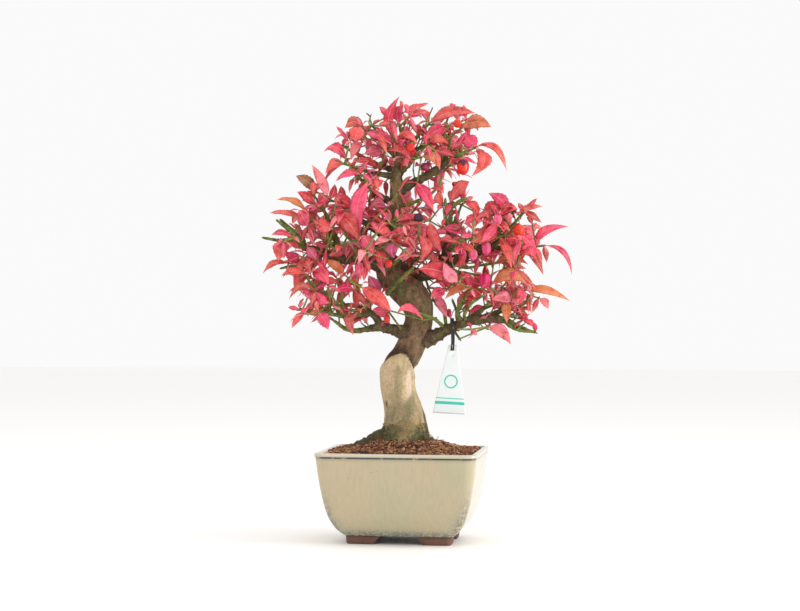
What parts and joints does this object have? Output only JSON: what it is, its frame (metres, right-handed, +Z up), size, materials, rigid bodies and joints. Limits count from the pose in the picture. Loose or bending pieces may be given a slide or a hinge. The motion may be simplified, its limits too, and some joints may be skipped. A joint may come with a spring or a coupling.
{
  "type": "bonsai tree in a pot",
  "caption": "Bonsai tree with a bent trunk, red autumn leaves and fruit, in a footed rectangular glazed pot, with a plain tag tied to its lowest branch.",
  "frame": {"origin": "middle of the whole plant's bounding box, on the ground plane under the pot's feet", "axes": "+Z up, the pot's long side faces -Y and lies along X"},
  "size_m": [0.2278, 0.1348, 0.331],
  "materials": {
    "glazed_stoneware": "gloss",
    "bonsai_soil": "matte",
    "black_mesh_plastic": "matte",
    "bark": "matte",
    "leaf_coral": "satin",
    "leaf_orange": "satin",
    "leaf_brick": "satin",
    "leaf_magenta": "satin",
    "leaf_olive": "satin",
    "leaf_red": "satin",
    "leaf_pink": "satin",
    "leaf_crimson": "satin",
    "leaf_pale_pink": "satin",
    "leaf_violet": "satin",
    "leaf_bright_pink": "satin",
    "white_tag_plastic": "satin",
    "black_tie_plastic": "satin"
  },
  "bodies": {
    "root": {"pot": "glazed_stoneware", "soil": "bonsai_soil", "drain_mesh_left": "black_mesh_plastic", "drain_mesh_right": "black_mesh_plastic", "wood": "bark", "spray_low_right": "leaf_coral", "spray_low_right_upper": "leaf_orange", "spray_low_right_riser": "leaf_orange", "spray_low_right_back": "leaf_coral", "spray_low_left": "leaf_brick", "spray_low_left_front": "leaf_coral", "spray_low_left_back": "leaf_magenta", "spray_mid_left_back": "leaf_brick", "spray_mid_left_riser": "leaf_olive", "spray_mid_left_fork": "leaf_orange", "spray_low_left_riser": "leaf_magenta", "spray_mid_right_far": "leaf_brick", "spray_upper_left": "leaf_red", "spray_high_left_front": "leaf_pink", "spray_high_left": "leaf_pink", "spray_high_left_back": "leaf_magenta", "spray_high_right": "leaf_pink", "spray_high_right_riser": "leaf_orange", "spray_high_right_back": "leaf_brick", "spray_crown_green": "leaf_crimson", "spray_crown_left": "leaf_pink", "spray_crown_middle": "leaf_magenta", "spray_crown_right": "leaf_coral", "spray_crown_far_right": "leaf_magenta", "spray_crown_back": "leaf_pink", "spray_mid_right": "leaf_pink", "spray_mid_right_riser": "leaf_coral", "spray_mid_right_back": "leaf_pale_pink", "spray_mid_right_front": "leaf_red", "spray_mid_right_upper": "leaf_magenta", "spray_back_middle": "leaf_red", "spray_back_left": "leaf_crimson", "spray_back_low": "leaf_magenta", "spray_front_middle": "leaf_red", "spray_front_right": "leaf_coral", "spray_front_left": "leaf_coral", "spray_low_right_side_1": "leaf_pale_pink", "spray_low_right_side_2": "leaf_pink", "spray_low_right_back_side_1": "leaf_coral", "spray_low_left_front_side_1": "leaf_violet", "spray_mid_left_side_1": "leaf_violet", "spray_mid_left_side_2": "leaf_pale_pink", "spray_mid_left_back_side_1": "leaf_crimson", "spray_high_right_back_side_1": "leaf_coral", "spray_mid_right_side_1": "leaf_brick", "spray_mid_right_side_2": "leaf_crimson", "spray_mid_right_back_side_1": "leaf_bright_pink", "spray_back_middle_side_1": "leaf_bright_pink", "spray_back_left_side_1": "leaf_crimson", "spray_back_low_side_1": "leaf_brick", "spray_upper_left_side_1": "leaf_bright_pink", "spray_crown_back_side_1": "leaf_crimson", "tag": "white_tag_plastic", "tag_tie": "black_tie_plastic"}
  },
  "joints": []
}
